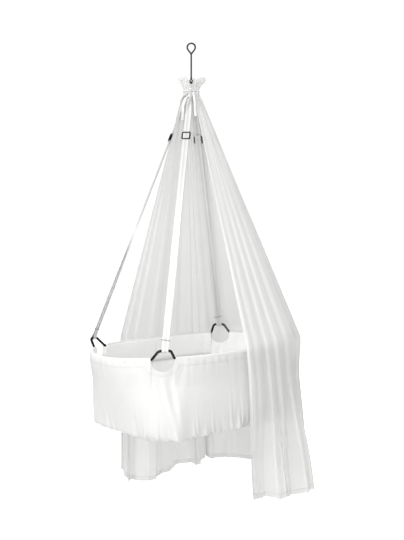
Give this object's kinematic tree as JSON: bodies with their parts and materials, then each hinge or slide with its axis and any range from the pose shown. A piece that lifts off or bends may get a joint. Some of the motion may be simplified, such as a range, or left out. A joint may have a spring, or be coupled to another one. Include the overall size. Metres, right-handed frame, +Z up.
{
  "type": "hanging baby cradle",
  "caption": "Hanging baby cradle: a soft cloth tub on an oval rim, carried by webbing straps under a rod with an eye, with a long gathered veil",
  "frame": {"origin": "the middle of the closed eye that the cradle hangs by", "axes": "+Z up along the hanging rod; +X along the tub towards its veiled head end; -Y the near side, where the veil is open"},
  "size_m": [1.0159, 0.7095, 1.8622],
  "materials": {
    "polished_steel": "drawn steel bar and wire, polished, with fine lines along the bar",
    "dark_steel": "black nickel plate over steel, glossy and nearly black",
    "rail_steel": "plain steel tube, dull, hidden in the rim's casing",
    "webbing": "white woven webbing with a fine rib across it",
    "tub_cloth": "white plain weave cotton, medium weight, softly creased",
    "veil_cloth": "off white light plain weave, slightly see-through, hanging in soft folds",
    "mattress_cloth": "white quilted cotton over a soft filling",
    "tape": "white woven cotton tape",
    "board_wood": "sanded pale plywood"
  },
  "bodies": {
    "hanger": {"hanging_rod": "polished_steel"},
    "link": {"swing_link": "polished_steel"},
    "cradle": {"strap_crown": "webbing", "strap_foot_near": "webbing", "strap_foot_far": "webbing", "strap_head_near": "webbing", "strap_head_far": "webbing", "corner_hanger_foot_near": "dark_steel", "corner_hanger_foot_far": "dark_steel", "corner_hanger_head_near": "dark_steel", "corner_hanger_head_far": "dark_steel", "rim_rail_head": "rail_steel", "rim_rail_far": "rail_steel", "rim_rail_foot": "rail_steel", "rim_rail_near": "rail_steel", "rim_casing_head": "tub_cloth", "rim_casing_far": "tub_cloth", "rim_casing_foot": "tub_cloth", "rim_casing_near": "tub_cloth", "basket_tub": "tub_cloth", "base_board": "board_wood", "veil_neck": "veil_cloth", "veil_drop_near": "veil_cloth", "veil_drop_head_near": "veil_cloth", "veil_drop_head": "veil_cloth", "veil_drop_head_far": "veil_cloth", "veil_drop_far": "veil_cloth", "veil_tie": "tape", "veil_bow": "tape", "veil_tail_left": "tape", "veil_tail_right": "tape"},
    "buckle_foot_near": {"strap_buckle_foot_near": "dark_steel"},
    "buckle_foot_far": {"strap_buckle_foot_far": "dark_steel"},
    "buckle_head_near": {"strap_buckle_head_near": "dark_steel"},
    "buckle_head_far": {"strap_buckle_head_far": "dark_steel"},
    "keeper_foot_near": {"strap_keeper_foot_near": "polished_steel"},
    "keeper_foot_far": {"strap_keeper_foot_far": "polished_steel"},
    "keeper_head_near": {"strap_keeper_head_near": "polished_steel"},
    "keeper_head_far": {"strap_keeper_head_far": "polished_steel"},
    "mattress": {"mattress": "mattress_cloth"}
  },
  "joints": [
    {"name": "rock_sideways", "type": "hinge", "parent": "hanger", "child": "link", "pos_m": [0, 0, -0.146], "axis": [1, 0, 0], "range_deg": [-10, 10]},
    {"name": "swing_lengthwise", "type": "hinge", "parent": "link", "child": "cradle", "pos_m": [0, 0, -0.1567], "axis": [0, 1, 0], "range_deg": [-10, 10]},
    {"name": "buckle_foot_near_slide", "type": "slide", "parent": "cradle", "child": "buckle_foot_near", "axis": [-0.3127, -0.227, -0.9223], "range_m": [0, 0.25]},
    {"name": "buckle_foot_far_slide", "type": "slide", "parent": "cradle", "child": "buckle_foot_far", "axis": [-0.312, 0.189, -0.9311], "range_m": [0, 0.25]},
    {"name": "buckle_head_near_slide", "type": "slide", "parent": "cradle", "child": "buckle_head_near", "axis": [0.3127, -0.227, -0.9223], "range_m": [0, 0.25]},
    {"name": "buckle_head_far_slide", "type": "slide", "parent": "cradle", "child": "buckle_head_far", "axis": [0.312, 0.189, -0.9311], "range_m": [0, 0.25]},
    {"name": "keeper_foot_near_slide", "type": "slide", "parent": "cradle", "child": "keeper_foot_near", "axis": [0.3127, 0.227, 0.9223], "range_m": [0, 0.06]},
    {"name": "keeper_foot_far_slide", "type": "slide", "parent": "cradle", "child": "keeper_foot_far", "axis": [0.312, -0.189, 0.9311], "range_m": [0, 0.06]},
    {"name": "keeper_head_near_slide", "type": "slide", "parent": "cradle", "child": "keeper_head_near", "axis": [-0.3127, 0.227, 0.9223], "range_m": [0, 0.06]},
    {"name": "keeper_head_far_slide", "type": "slide", "parent": "cradle", "child": "keeper_head_far", "axis": [-0.312, -0.189, 0.9311], "range_m": [0, 0.06]},
    {"name": "mattress_lift", "type": "slide", "parent": "cradle", "child": "mattress", "axis": [0, 0, 1], "range_m": [0, 0.3]}
  ]
}
